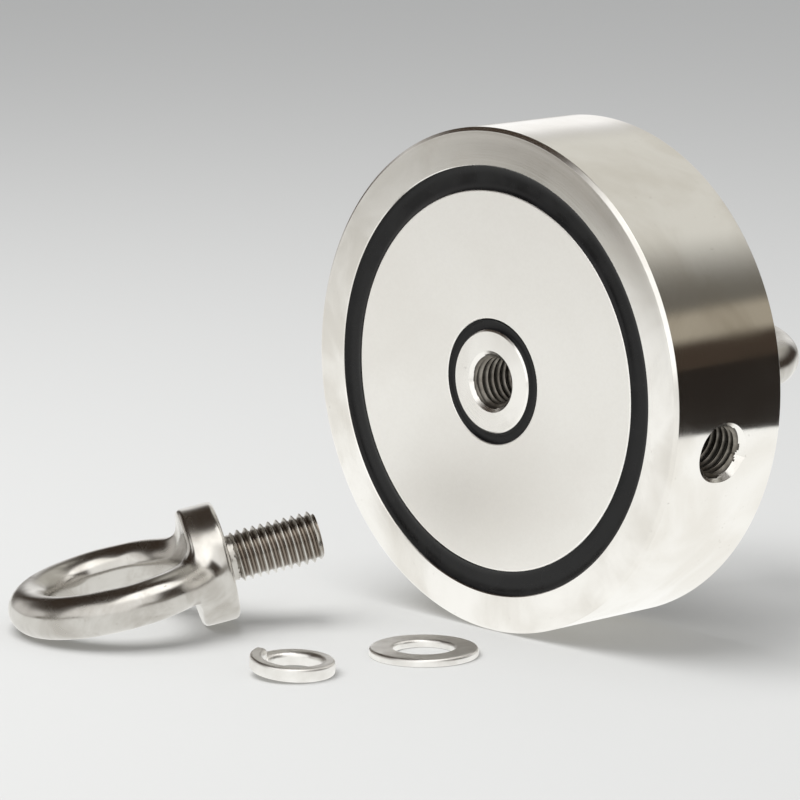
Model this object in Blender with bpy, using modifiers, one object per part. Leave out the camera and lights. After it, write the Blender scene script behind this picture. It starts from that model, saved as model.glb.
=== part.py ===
"""Double-sided fishing magnet.

A round steel pot stands on its rim. Each side holds a ring magnet in a bed of adhesive, with
epoxy poured round it, and a threaded bush runs through the middle. One eyebolt is screwed into
the back over a spring washer and a flat washer. A second eyebolt and its two washers lie in
front, ready for the centre of the front face or for the threaded hole in the rim.

Metres, +Z up, the floor at z = 0, the front pull face towards -Y.
"""

import math

import bmesh
import bpy
from mathutils import Matrix, Vector

MM = 0.001
GAP = 0.3 * MM                      # left between pieces that touch
WELD = 0.001 * MM                   # vertices nearer than this are one

# Pot
POT_RADIUS = 47.0 * MM
POT_DEPTH = 28.0 * MM
POT_CHAMFER = 0.7 * MM
POCKET_RADIUS = 39.9 * MM
WEB_THICKNESS = 12.0 * MM
POCKET_DEPTH = (POT_DEPTH - WEB_THICKNESS) / 2

# Magnets, glue and epoxy
MAGNET_OUTER_RADIUS = 35.4 * MM
MAGNET_INNER_RADIUS = 11.6 * MM
MAGNET_RECESS = 0.3 * MM
MAGNET_CHAMFER = 0.3 * MM
GLUE_THICKNESS = 0.3 * MM
EPOXY_RECESS = 0.6 * MM
BUSH_RADIUS = 9.6 * MM
BUSH_CHAMFER = 0.3 * MM

# M10 coarse thread, with the crests of the male thread and of its hole 0.15 mm off nominal
PITCH = 1.5 * MM
THREAD_HEIGHT = 5 / 8 * PITCH * math.cos(math.radians(30))
CREST_FLAT = PITCH / 8
ROOT_FLAT = PITCH / 4
MALE_RADIUS = 4.85 * MM
FEMALE_RADIUS = 5.15 * MM
MOUTH_RADIUS = 5.5 * MM             # where a hole's chamfer meets the face
DRILL_RADIUS = FEMALE_RADIUS - THREAD_HEIGHT - 0.05 * MM

# Threaded hole in the rim
SIDE_HOLE_ANGLE = math.radians(-10.5)   # below the horizontal, on the +X side
SIDE_HOLE_FROM_FRONT = 13.0 * MM
SIDE_THREAD_DEPTH = 18.0 * MM
SIDE_DRILL_DEPTH = 20.0 * MM

# Eyebolt, after the M10 size of JIS B 1168
WIRE_RADIUS = 4.0 * MM
RING_RADIUS = 16.5 * MM             # to the middle of the wire
RING_HEIGHT = 21.0 * MM             # of the ring's centre above the collar's base
COLLAR_RADIUS = 11.2 * MM
COLLAR_HEIGHT = 7.0 * MM
COLLAR_ROUNDING = 1.0 * MM
SHANK_LENGTH = 18.0 * MM
NECK_LENGTH = 1.8 * MM
NECK_RADIUS = 4.3 * MM
SHANK_CHAMFER = 0.9 * MM

# Washers
FLAT_WASHER_RADIUS = 10.0 * MM
FLAT_WASHER_HOLE = 5.5 * MM
FLAT_WASHER_THICKNESS = 1.5 * MM
SPRING_OUTER_RADIUS = 7.7 * MM
SPRING_INNER_RADIUS = 5.1 * MM
SPRING_THICKNESS = 2.6 * MM
SPRING_SPLIT = math.radians(9)      # opening between the two cut ends
SPRING_CUT = math.radians(25)       # slant of the cut ends
SPRING_RISE = 1.4 * MM              # of one end over the other on the unused washer

# Where things are, seen from above. The whole layout is centred on the origin.
AXIS_X = 11.1 * MM
FRONT_Y = -2.5 * MM
REAR_RING_ROLL = math.radians(8.3)  # +X side down
FRONT_FOOT = Vector((AXIS_X, FRONT_Y))
LOOSE_RING_CENTRE = FRONT_FOOT + Vector((-48.9, -49.2)) * MM
LOOSE_HEADING = math.radians(57)
LOOSE_FLAT_WASHER = FRONT_FOOT + Vector((5.3, -21.9)) * MM
LOOSE_SPRING_WASHER = FRONT_FOOT + Vector((-0.2, -49.1)) * MM
SPLIT_DIRECTION = math.radians(204)
SPRING_LEAN = math.radians(3.8)     # rests the unused washer on its low end and the side opposite
SPRING_LEAN_LINE = math.radians(82)

# Facets. An odd multiple of two stands a ring on a flat facet, not on an edge.
POT_STEPS = 50
THREAD_STEPS = 16
COLLAR_STEPS = 24
WASHER_STEPS = 32
RING_STEPS = 36
WIRE_STEPS = 12

REAR_Y = FRONT_Y + POT_DEPTH
AXIS_Z = POT_RADIUS * math.cos(math.pi / POT_STEPS)
STACK = GAP + FLAT_WASHER_THICKNESS + GAP + SPRING_THICKNESS + GAP


def clear_scene():
    for obj in list(bpy.data.objects):
        bpy.data.objects.remove(obj, do_unlink=True)


def make_material(name, color, metallic, roughness):
    material = bpy.data.materials.new(name)
    material.use_nodes = True
    shader = material.node_tree.nodes["Principled BSDF"]
    shader.inputs["Base Color"].default_value = (*color, 1.0)
    shader.inputs["Metallic"].default_value = metallic
    shader.inputs["Roughness"].default_value = roughness
    return material


def add_object(name, mesh, material, placement, collection):
    mesh.shade_smooth()
    mesh.set_sharp_from_angle(angle=math.radians(30))
    mesh.materials.clear()
    mesh.materials.append(material)
    obj = bpy.data.objects.new(name, mesh)
    obj.matrix_world = placement
    collection.objects.link(obj)
    return obj


# ---- mesh tools -------------------------------------------------------------------------------

def evaluated_mesh(obj):
    """The object's mesh with its modifiers, welded; the object itself is removed."""
    depsgraph = bpy.context.evaluated_depsgraph_get()
    mesh = bpy.data.meshes.new_from_object(obj.evaluated_get(depsgraph))
    bpy.data.objects.remove(obj, do_unlink=True)
    edit = bmesh.new()
    edit.from_mesh(mesh)
    bmesh.ops.remove_doubles(edit, verts=edit.verts, dist=WELD)
    edit.to_mesh(mesh)
    edit.free()
    return mesh


def close_and_orient(mesh, axis_points=()):
    """Close each open end, with a fan round the axis point nearest it if any are given."""
    edit = bmesh.new()
    edit.from_mesh(mesh)
    open_edges = [edge for edge in edit.edges if edge.is_boundary]
    if axis_points:
        centres = [edit.verts.new(point) for point in axis_points]
        for edge in open_edges:
            middle = (edge.verts[0].co + edge.verts[1].co) / 2
            centre = min(centres, key=lambda vert: abs(vert.co.z - middle.z))
            edit.faces.new((edge.verts[0], edge.verts[1], centre))
    else:
        bmesh.ops.holes_fill(edit, edges=open_edges)
    bmesh.ops.recalc_face_normals(edit, faces=edit.faces)
    edit.to_mesh(mesh)
    edit.free()
    return mesh


def swept(points, closed, steps, angle=2 * math.pi, rise=0.0, turns=1):
    """An outline of (radius, height) points swept about Z by a Screw modifier."""
    count = len(points)
    edges = [(i, i + 1) for i in range(count - 1)]
    if closed:
        edges.append((count - 1, 0))
    mesh = bpy.data.meshes.new("outline")
    mesh.from_pydata([(radius, 0.0, height) for radius, height in points], edges, [])
    obj = bpy.data.objects.new("outline", mesh)
    bpy.context.scene.collection.objects.link(obj)
    screw = obj.modifiers.new("screw", "SCREW")
    screw.angle = angle
    screw.screw_offset = rise
    screw.iterations = turns
    screw.steps = steps
    screw.render_steps = steps
    screw.use_merge_vertices = True
    screw.merge_threshold = WELD
    return evaluated_mesh(obj)


def turned(points, steps, closed=True):
    return close_and_orient(swept(points, closed, steps))


def combined(mesh_a, mesh_b, operation, placement=Matrix()):
    """The Boolean of two closed meshes, the second one moved to its placement."""
    target = bpy.data.objects.new("target", mesh_a)
    tool = bpy.data.objects.new("tool", mesh_b)
    tool.matrix_world = placement
    for obj in (target, tool):
        bpy.context.scene.collection.objects.link(obj)
    boolean = target.modifiers.new("boolean", "BOOLEAN")
    boolean.operation = operation
    boolean.object = tool
    result = evaluated_mesh(target)
    bpy.data.objects.remove(tool, do_unlink=True)
    return result


def ring_outline(inner, outer, low, high, top_chamfer=0.0):
    """A ring's section, from its outer side down and round, with its top edges chamfered."""
    if not top_chamfer:
        return [(outer, high), (outer, low), (inner, low), (inner, high)]
    return [
        (outer, high - top_chamfer), (outer, low), (inner, low), (inner, high - top_chamfer),
        (inner + top_chamfer, high), (outer - top_chamfer, high),
    ]


# ---- threads ----------------------------------------------------------------------------------

def thread_rod(crest_radius, bottom_turn, top_turn):
    """A right-handed M10 rod along Z whose turns are in step with z = 0."""
    root = crest_radius - THREAD_HEIGHT
    base = bottom_turn * PITCH
    flank = (PITCH - CREST_FLAT - ROOT_FLAT) / 2
    outline = [
        (root, base), (root, base + ROOT_FLAT), (crest_radius, base + ROOT_FLAT + flank),
        (crest_radius, base + PITCH - flank), (root, base + PITCH),
    ]
    turns = top_turn - bottom_turn
    mesh = swept(outline, False, THREAD_STEPS, rise=PITCH, turns=turns)
    ends = [Vector((0, 0, base)), Vector((0, 0, base + (turns + 1) * PITCH))]
    return close_and_orient(mesh, ends)


def threaded_stretch(crest_radius, bottom, top, bottom_chamfer=0.0, top_chamfer=0.0):
    """The part of a threaded rod between two heights, with its ends chamfered at 45 degrees."""
    wide = crest_radius + 0.2 * MM
    envelope = turned([
        (0.0, top), (wide - top_chamfer, top), (wide, top - top_chamfer),
        (wide, bottom + bottom_chamfer), (wide - bottom_chamfer, bottom), (0.0, bottom),
    ], THREAD_STEPS, closed=False)
    first = math.floor(bottom / PITCH) - 2
    last = math.ceil(top / PITCH) + 1
    return combined(thread_rod(crest_radius, first, last), envelope, "INTERSECT")


def mouth_cone(height, outwards):
    """The 45 degree chamfer of a hole whose mouth is at a height on Z."""
    beyond = 1.0 * MM
    inside = MOUTH_RADIUS - 3.9 * MM
    return turned([
        (0.0, height + outwards * beyond), (MOUTH_RADIUS + beyond, height + outwards * beyond),
        (MOUTH_RADIUS - inside, height - outwards * inside), (0.0, height - outwards * inside),
    ], THREAD_STEPS, closed=False)


def through_hole_cutter(bottom, top):
    beyond = 2 * PITCH
    cutter = threaded_stretch(FEMALE_RADIUS, bottom - beyond, top + beyond)
    cutter = combined(cutter, mouth_cone(top, 1), "UNION")
    return combined(cutter, mouth_cone(bottom, -1), "UNION")


def blind_hole_cutter():
    """The rim's hole, its mouth at z = 0 and its drilled tip below."""
    tip = SIDE_DRILL_DEPTH + DRILL_RADIUS * math.tan(math.radians(30))
    drill = turned([
        (0.0, -PITCH), (DRILL_RADIUS, -PITCH), (DRILL_RADIUS, -SIDE_DRILL_DEPTH), (0.0, -tip),
    ], THREAD_STEPS, closed=False)
    cutter = threaded_stretch(FEMALE_RADIUS, -SIDE_THREAD_DEPTH, 2 * PITCH,
                              bottom_chamfer=THREAD_HEIGHT)
    cutter = combined(cutter, drill, "UNION")
    return combined(cutter, mouth_cone(0.0, 1), "UNION")


# ---- placements -------------------------------------------------------------------------------

def front_axis():
    """The pot's own frame: z = 0 on the front face and +z out of it."""
    return Matrix.Translation((AXIS_X, FRONT_Y, AXIS_Z)) @ Matrix.Rotation(math.pi / 2, 4, "X")


def rear_axis(behind_rear_face, roll=0.0):
    """On the pot's axis behind it, +z pointing away from the rear face."""
    place = Matrix.Translation((AXIS_X, REAR_Y + behind_rear_face, AXIS_Z))
    turn = Matrix.Rotation(-math.pi / 2, 4, "X")
    return place @ turn @ Matrix.Rotation(roll, 4, "Z")


def side_hole_axis():
    """The rim's hole in the pot's own frame, +z out of its mouth."""
    turn = Matrix.Rotation(SIDE_HOLE_ANGLE, 4, "Z")
    out = Matrix.Translation((POT_RADIUS, 0, -SIDE_HOLE_FROM_FRONT))
    return turn @ out @ Matrix.Rotation(math.pi / 2, 4, "Y")


def loose_eyebolt_lean():
    """How far the shank rises when the ring's tip and the collar's edge touch the floor."""
    along = RING_RADIUS + RING_HEIGHT - COLLAR_HEIGHT + COLLAR_ROUNDING
    across = COLLAR_RADIUS - COLLAR_ROUNDING
    step = (WIRE_RADIUS - COLLAR_ROUNDING) / math.hypot(along, across)
    return math.atan2(across, along) - math.asin(step)


def loose_eyebolt_placement():
    lean = loose_eyebolt_lean()
    shank = Vector((
        math.cos(LOOSE_HEADING) * math.cos(lean), math.sin(LOOSE_HEADING) * math.cos(lean),
        math.sin(lean),
    ))
    side = Vector((math.sin(LOOSE_HEADING), -math.cos(LOOSE_HEADING), 0.0))
    up = side.cross(shank)
    centre_height = WIRE_RADIUS + RING_RADIUS * math.sin(lean)
    centre = Vector((*LOOSE_RING_CENTRE, centre_height))
    base = centre + RING_HEIGHT * shank
    turn = Matrix((side, up, -shank)).transposed().to_4x4()
    return Matrix.Translation(base) @ turn


def on_floor(mesh, placement):
    """The placement, raised or lowered until the mesh's lowest point is at z = 0."""
    lowest = min((placement @ vert.co).z for vert in mesh.vertices)
    return Matrix.Translation((0, 0, -lowest)) @ placement


# ---- sub-parts --------------------------------------------------------------------------------

def pot_mesh():
    """The turned steel body: an outer wall and a web that the two pockets leave between them."""
    bore = BUSH_RADIUS + GAP
    edge = POT_RADIUS - POT_CHAMFER
    pot = turned([
        (POT_RADIUS, -POT_CHAMFER), (POT_RADIUS, POT_CHAMFER - POT_DEPTH), (edge, -POT_DEPTH),
        (POCKET_RADIUS, -POT_DEPTH), (POCKET_RADIUS, POCKET_DEPTH - POT_DEPTH),
        (bore, POCKET_DEPTH - POT_DEPTH), (bore, -POCKET_DEPTH),
        (POCKET_RADIUS, -POCKET_DEPTH), (POCKET_RADIUS, 0.0), (edge, 0.0),
    ], POT_STEPS)
    return combined(pot, blind_hole_cutter(), "DIFFERENCE", side_hole_axis())


def bush_mesh():
    """The steel bush through the middle, threaded in step with the rear eyebolt."""
    blank = turned([
        (BUSH_RADIUS, -BUSH_CHAMFER), (BUSH_RADIUS, BUSH_CHAMFER - POT_DEPTH),
        (BUSH_RADIUS - BUSH_CHAMFER, -POT_DEPTH), (0.0, -POT_DEPTH), (0.0, 0.0),
        (BUSH_RADIUS - BUSH_CHAMFER, 0.0),
    ], POT_STEPS)
    cutter = through_hole_cutter(-STACK - POT_DEPTH, -STACK)
    to_rear_eyebolt = front_axis().inverted() @ rear_axis(STACK)
    return combined(blank, cutter, "DIFFERENCE", to_rear_eyebolt)


def magnet_mesh():
    low = GLUE_THICKNESS + 2 * GAP - POCKET_DEPTH
    outline = ring_outline(MAGNET_INNER_RADIUS, MAGNET_OUTER_RADIUS, low, -MAGNET_RECESS,
                           MAGNET_CHAMFER)
    return turned(outline, POT_STEPS)


def glue_mesh():
    low = GAP - POCKET_DEPTH
    inner = MAGNET_INNER_RADIUS + GAP
    outer = MAGNET_OUTER_RADIUS - GAP
    return turned(ring_outline(inner, outer, low, low + GLUE_THICKNESS), POT_STEPS)


def epoxy_mesh(inner, outer):
    outline = ring_outline(inner + GAP, outer - GAP, GAP - POCKET_DEPTH, -EPOXY_RECESS)
    return turned(outline, POT_STEPS)


def collar_mesh():
    """The eyebolt's round collar with rounded edges, from z = 0 up."""
    corner = COLLAR_ROUNDING
    halfway = corner * (1 - math.sqrt(0.5))
    return turned([
        (0.0, COLLAR_HEIGHT), (COLLAR_RADIUS - corner, COLLAR_HEIGHT),
        (COLLAR_RADIUS - halfway, COLLAR_HEIGHT - halfway),
        (COLLAR_RADIUS, COLLAR_HEIGHT - corner), (COLLAR_RADIUS, corner),
        (COLLAR_RADIUS - halfway, halfway), (COLLAR_RADIUS - corner, 0.0), (0.0, 0.0),
    ], COLLAR_STEPS, closed=False)


def torus_mesh():
    """The eye, in the XZ plane above the collar."""
    bpy.ops.mesh.primitive_torus_add(
        major_segments=RING_STEPS, minor_segments=WIRE_STEPS,
        major_radius=RING_RADIUS, minor_radius=WIRE_RADIUS,
    )
    obj = bpy.context.object
    obj.data.transform(Matrix.Rotation(math.pi / 2, 4, "X"))
    obj.data.transform(Matrix.Translation((0, 0, RING_HEIGHT)))
    return evaluated_mesh(obj)


def eyebolt_mesh():
    """An eyebolt with its collar's base at z = 0 and its shank down -Z."""
    neck = turned([
        (0.0, PITCH), (NECK_RADIUS, PITCH), (NECK_RADIUS, -NECK_LENGTH), (0.0, -NECK_LENGTH),
    ], THREAD_STEPS, closed=False)
    shank = threaded_stretch(MALE_RADIUS, -SHANK_LENGTH, 0.5 * MM - NECK_LENGTH,
                             bottom_chamfer=SHANK_CHAMFER, top_chamfer=SHANK_CHAMFER)
    body = combined(collar_mesh(), torus_mesh(), "UNION")
    body = combined(body, neck, "UNION")
    return combined(body, shank, "UNION")


def flat_washer_mesh():
    outline = ring_outline(FLAT_WASHER_HOLE, FLAT_WASHER_RADIUS, 0.0, FLAT_WASHER_THICKNESS)
    return turned(outline, WASHER_STEPS)


def spring_washer_mesh(rise):
    """One left-handed turn of square wire, split by a slanting cut at +X, that climbs by the rise."""
    outline = ring_outline(SPRING_INNER_RADIUS, SPRING_OUTER_RADIUS, 0.0, SPRING_THICKNESS)
    angle = SPRING_SPLIT - 2 * math.pi
    mesh = swept(outline, True, WASHER_STEPS, angle=angle, rise=rise)
    mesh = close_and_orient(mesh)
    middle = (SPRING_INNER_RADIUS + SPRING_OUTER_RADIUS) / 2
    for vert in mesh.vertices:
        slant = -vert.co.z * math.tan(SPRING_CUT) / middle
        vert.co = Matrix.Rotation(slant, 3, "Z") @ vert.co
    return mesh


# ---- assembly ---------------------------------------------------------------------------------

def build_pot(collection, nickel, magnet_nickel, epoxy, glue):
    front = front_axis()
    back = front @ Matrix.Translation((0, 0, -POT_DEPTH)) @ Matrix.Rotation(math.pi, 4, "X")
    add_object("steel_pot", pot_mesh(), nickel, front, collection)
    add_object("centre_bush", bush_mesh(), nickel, front, collection)
    magnet = magnet_mesh()
    bed = glue_mesh()
    outer_seal = epoxy_mesh(MAGNET_OUTER_RADIUS, POCKET_RADIUS)
    inner_seal = epoxy_mesh(BUSH_RADIUS, MAGNET_INNER_RADIUS)
    for side, placement in (("front", front), ("rear", back)):
        add_object(side + "_ring_magnet", magnet.copy(), magnet_nickel, placement, collection)
        add_object(side + "_adhesive_bed", bed.copy(), glue, placement, collection)
        add_object(side + "_outer_epoxy_ring", outer_seal.copy(), epoxy, placement, collection)
        add_object(side + "_inner_epoxy_ring", inner_seal.copy(), epoxy, placement, collection)


def build_rear_fittings(collection, steel):
    flat = flat_washer_mesh()
    spring = spring_washer_mesh(0.0)
    eyebolt = eyebolt_mesh()
    spring_place = GAP + FLAT_WASHER_THICKNESS + GAP
    add_object("rear_flat_washer", flat, steel, rear_axis(GAP), collection)
    add_object("rear_spring_washer", spring, steel, rear_axis(spring_place), collection)
    add_object("rear_eyebolt", eyebolt, steel, rear_axis(STACK, REAR_RING_ROLL), collection)


def build_loose_fittings(collection, steel):
    eyebolt = eyebolt_mesh()
    placement = on_floor(eyebolt, loose_eyebolt_placement())
    add_object("spare_eyebolt", eyebolt, steel, placement, collection)
    flat = flat_washer_mesh()
    placement = on_floor(flat, Matrix.Translation((*LOOSE_FLAT_WASHER, 0.0)))
    add_object("spare_flat_washer", flat, steel, placement, collection)
    spring = spring_washer_mesh(SPRING_RISE)
    line = Vector((math.cos(SPRING_LEAN_LINE), math.sin(SPRING_LEAN_LINE), 0.0))
    lean = Matrix.Rotation(SPRING_LEAN, 4, line)
    split = Matrix.Rotation(SPLIT_DIRECTION, 4, "Z")
    placement = Matrix.Translation((*LOOSE_SPRING_WASHER, 0.0)) @ lean @ split
    add_object("spare_spring_washer", spring, steel, on_floor(spring, placement), collection)


def main():
    clear_scene()
    collection = bpy.data.collections.new("fishing_magnet")
    bpy.context.scene.collection.children.link(collection)
    nickel = make_material("nickel_plate", (0.74, 0.73, 0.70), 1.0, 0.22)
    magnet_nickel = make_material("magnet_nickel", (0.78, 0.77, 0.75), 1.0, 0.3)
    epoxy = make_material("black_epoxy", (0.012, 0.012, 0.013), 0.0, 0.25)
    glue = make_material("grey_adhesive", (0.35, 0.35, 0.33), 0.0, 0.6)
    stainless = make_material("stainless_steel", (0.62, 0.6, 0.57), 1.0, 0.18)
    build_pot(collection, nickel, magnet_nickel, epoxy, glue)
    build_rear_fittings(collection, stainless)
    build_loose_fittings(collection, stainless)


main()
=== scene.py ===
"""The looks of the double-sided fishing magnet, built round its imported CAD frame.

Every piece here is a finer version of one CAD node, with rounded edges and real threads, and
stands exactly where that node stands. The two adhesive beds keep their CAD meshes, because
nothing shows of them. Metres, +Z up, the floor at z = 0.
"""

import math

import bmesh
import bpy
import numpy as np
from mathutils import Matrix, Vector


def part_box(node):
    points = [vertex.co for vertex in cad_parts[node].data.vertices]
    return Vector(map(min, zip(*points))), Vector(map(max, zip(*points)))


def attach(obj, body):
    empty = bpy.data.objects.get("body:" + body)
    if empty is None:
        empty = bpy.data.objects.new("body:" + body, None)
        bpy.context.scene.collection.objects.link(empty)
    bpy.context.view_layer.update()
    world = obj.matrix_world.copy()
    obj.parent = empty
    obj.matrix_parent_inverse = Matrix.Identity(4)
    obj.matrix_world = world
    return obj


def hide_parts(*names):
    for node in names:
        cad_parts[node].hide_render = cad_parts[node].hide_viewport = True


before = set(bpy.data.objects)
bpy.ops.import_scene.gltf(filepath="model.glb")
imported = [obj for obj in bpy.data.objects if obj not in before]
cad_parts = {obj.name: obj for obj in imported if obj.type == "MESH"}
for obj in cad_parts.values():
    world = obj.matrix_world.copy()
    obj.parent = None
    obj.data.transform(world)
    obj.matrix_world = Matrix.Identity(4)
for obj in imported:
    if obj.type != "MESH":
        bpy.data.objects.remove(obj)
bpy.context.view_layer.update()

MM = 0.001
WELD = 0.001 * MM

# Where the frame has the parts
POT_LOW, POT_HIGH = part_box("steel_pot")
AXIS_X = (POT_LOW.x + POT_HIGH.x) / 2
AXIS_Z = (POT_LOW.z + POT_HIGH.z) / 2
FRONT_Y = POT_LOW.y
POT_DEPTH = POT_HIGH.y - POT_LOW.y
POT_RADIUS = AXIS_Z                 # the round pot stands on the floor, as the faceted one does

# Pot
POT_CHAMFER = 0.7 * MM
POCKET_RADIUS = 39.9 * MM
POCKET_DEPTH = 8.0 * MM
RIM_CROWN = 0.12 * MM               # how far polishing has rounded the rim's face away
EDGE_ROUNDING = 0.15 * MM
EDGE_SUPPORT = 0.02 * MM            # beside each arc, so that its shading stays off the flats

# Magnets, epoxy and bush
MAGNET_OUTER_RADIUS = 35.4 * MM
MAGNET_INNER_RADIUS = 11.6 * MM
MAGNET_RECESS = 0.3 * MM
MAGNET_BOTTOM = 7.1 * MM
MAGNET_ROUNDING = 0.35 * MM
BUSH_RADIUS = 9.6 * MM
BUSH_CHAMFER = 0.3 * MM
SEAM = 0.01 * MM                    # between the epoxy and the walls that it fills
MENISCUS_TOP = 0.38 * MM            # below the pot's face, where the epoxy meets a wall
MENISCUS_SAG = 0.42 * MM

# M10 coarse thread
PITCH = 1.5 * MM
THREAD_HEIGHT = 5 / 8 * PITCH * math.cos(math.radians(30))
CREST_FLAT = 1 / 8                  # of the pitch
ROOT_FLAT = 1 / 4
FLANK_SLOPE = math.radians(60)
CREST_ROUNDING = 0.15 * MM          # where flat and flank meet
ROOT_ROUNDING = 0.22 * MM
MALE_RADIUS = 4.85 * MM
FEMALE_RADIUS = 5.15 * MM
MOUTH_RADIUS = 5.75 * MM
SIDE_MOUTH_RADIUS = 6.0 * MM

# Threaded hole in the rim
DRILL_RADIUS = FEMALE_RADIUS - THREAD_HEIGHT - 0.05 * MM
SIDE_HOLE_ANGLE = math.radians(-10.5)
SIDE_HOLE_FROM_FRONT = 13.0 * MM
SIDE_THREAD_DEPTH = 18.0 * MM
SIDE_DRILL_DEPTH = 20.0 * MM
SIDE_CUTTER_TOP = 1.5 * MM          # above the mouth
# Knocks on its mouth: (direction from the rear upwards, half width, depth)
MOUTH_KNOCKS = (
    (math.radians(-58), math.radians(26), 0.45 * MM),
    (math.radians(-15), math.radians(5), 0.5 * MM),
)

# Eyebolt
WIRE_RADIUS = 4.0 * MM
RING_RADIUS = 16.5 * MM
RING_HEIGHT = 21.0 * MM
COLLAR_RADIUS = 11.2 * MM
COLLAR_HEIGHT = 7.0 * MM
COLLAR_ROUNDING = 1.0 * MM
SHANK_LENGTH = 18.0 * MM
NECK_LENGTH = 1.8 * MM
NECK_RADIUS = 4.3 * MM
NECK_ROUNDING = 0.2 * MM
RING_FILLET = 3.2 * MM
NECK_FILLET = 0.8 * MM
SHANK_END_RADIUS = 4.0 * MM
SHANK_OVERLAP = 0.5 * MM            # how far the shank reaches into the neck
WAVE_HEIGHT = 0.03 * MM             # of the unevenness that casting leaves under the polish
WAVE_LENGTHS = (5.0 * MM, 6.5 * MM, 9.0 * MM, 12.0 * MM)
WAVES_OF_A_LENGTH = 3
NET_STEP = 0.5 * MM

# Washers
FLAT_WASHER_RADIUS = 10.0 * MM
FLAT_WASHER_HOLE = 5.5 * MM
FLAT_WASHER_THICKNESS = 1.5 * MM
SPRING_OUTER_RADIUS = 7.7 * MM
SPRING_INNER_RADIUS = 5.1 * MM
SPRING_THICKNESS = 2.6 * MM
SPRING_ROUNDING = 0.55 * MM
SPRING_INNER_ROUNDING = 1.0 * MM    # the upper edge of its hole
SPRING_SPLIT = math.radians(9)
SPRING_CUT = math.radians(25)
SPRING_END_LENGTH = 0.12 * MM       # over which each cut end narrows
SPRING_END_SIZE = 0.9               # of the wire, at the cut
SPRING_RISE = 1.4 * MM

# Directions of the parts, as the frame has them
REAR_RING_ROLL = math.radians(8.3)
LOOSE_HEADING = math.radians(57)
SPLIT_DIRECTION = math.radians(204)
SPRING_LEAN = math.radians(3.8)
SPRING_LEAN_LINE = math.radians(82)

# Steps round a full turn
POT_STEPS = 288
THREAD_STEPS = 72
WASHER_STEPS = 128

# Steps in a rounded corner
ARC_STEPS = 4
MAGNET_ARC_STEPS = 6
WASHER_ARC_STEPS = 6
THREAD_ARC_STEPS = 3

# Camera, from the foot of the pot's front face
CAMERA_PLACE = Vector((0.5943, -0.5817, 0.1976))
CAMERA_YAW = math.radians(46.76)
CAMERA_PITCH = math.radians(-10.5)
CAMERA_LENS = 207.0
SENSOR_WIDTH = 36.0


# ---- meshes -----------------------------------------------------------------------------------

def grid_faces(rows, columns, close_rows, close_columns):
    """The quads between neighbouring points of a grid, which may close on itself either way."""
    faces = []
    for row in range(rows if close_rows else rows - 1):
        below = (row + 1) % rows
        for column in range(columns if close_columns else columns - 1):
            right = (column + 1) % columns
            faces.append((
                row * columns + column, row * columns + right,
                below * columns + right, below * columns + column,
            ))
    return faces


def welded(parts):
    """One closed mesh from grids and fans whose edges meet: (points, faces) pairs."""
    edit = bmesh.new()
    for points, faces in parts:
        verts = [edit.verts.new(point) for point in points]
        for face in faces:
            edit.faces.new([verts[i] for i in face])
    bmesh.ops.remove_doubles(edit, verts=edit.verts, dist=WELD)
    bmesh.ops.recalc_face_normals(edit, faces=edit.faces)
    mesh = bpy.data.meshes.new("welded")
    edit.to_mesh(mesh)
    edit.free()
    return mesh


def turned_grid(outline, steps, closed):
    """The points and faces of (radius, height) points turned about Z."""
    angles = np.linspace(0, 2 * math.pi, steps, endpoint=False)
    radius, height = np.array(outline).T
    x = np.outer(radius, np.cos(angles))
    y = np.outer(radius, np.sin(angles))
    z = np.repeat(height[:, None], steps, axis=1)
    points = np.stack((x, y, z), axis=-1).reshape(-1, 3)
    return points, grid_faces(len(outline), steps, closed, True)


def turned(outline, steps):
    return welded([turned_grid(outline, steps, True)])


def fan(radius, height, tip_height, steps):
    """A disc or cone that closes the end of a turned or threaded surface."""
    rim, _ = turned_grid([(radius, height)], steps, False)
    points = np.vstack((rim, [(0, 0, tip_height)]))
    return points, [(i, (i + 1) % steps, steps) for i in range(steps)]


def rounded(corners, steps=ARC_STEPS):
    """A closed outline in which (radius, height, rounding) corners have become arcs."""
    points = []
    for place, (x, y, rounding) in enumerate(corners):
        corner = Vector((x, y))
        if not rounding:
            points.append(corner)
            continue
        before = (Vector(corners[place - 1][:2]) - corner).normalized()
        after = (Vector(corners[(place + 1) % len(corners)][:2]) - corner).normalized()
        half_angle = before.angle(after) / 2
        reach = rounding / math.tan(half_angle)
        centre = corner + (before + after).normalized() * (rounding / math.sin(half_angle))
        start = corner + before * reach - centre
        end = corner + after * reach - centre
        points.append(corner + before * (reach + EDGE_SUPPORT))
        points += [centre + rounding * start.slerp(end, i / steps) for i in range(steps + 1)]
        points.append(corner + after * (reach + EDGE_SUPPORT))
    return points


def combined(mesh_a, mesh_b, operation, placement=Matrix()):
    """The Boolean of two closed meshes, the second one moved to its placement."""
    target = bpy.data.objects.new("target", mesh_a)
    tool = bpy.data.objects.new("tool", mesh_b)
    tool.matrix_world = placement
    for obj in (target, tool):
        bpy.context.scene.collection.objects.link(obj)
    boolean = target.modifiers.new("boolean", "BOOLEAN")
    boolean.operation = operation
    boolean.object = tool
    depsgraph = bpy.context.evaluated_depsgraph_get()
    result = bpy.data.meshes.new_from_object(target.evaluated_get(depsgraph))
    for obj in (target, tool):
        bpy.data.objects.remove(obj, do_unlink=True)
    return result


def shade(mesh, sharp_angle=30.0):
    mesh.shade_smooth()
    mesh.set_sharp_from_angle(angle=math.radians(sharp_angle))
    return mesh


def points_of(mesh):
    points = np.empty(len(mesh.vertices) * 3)
    mesh.vertices.foreach_get("co", points)
    return points.reshape(-1, 3)


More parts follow.
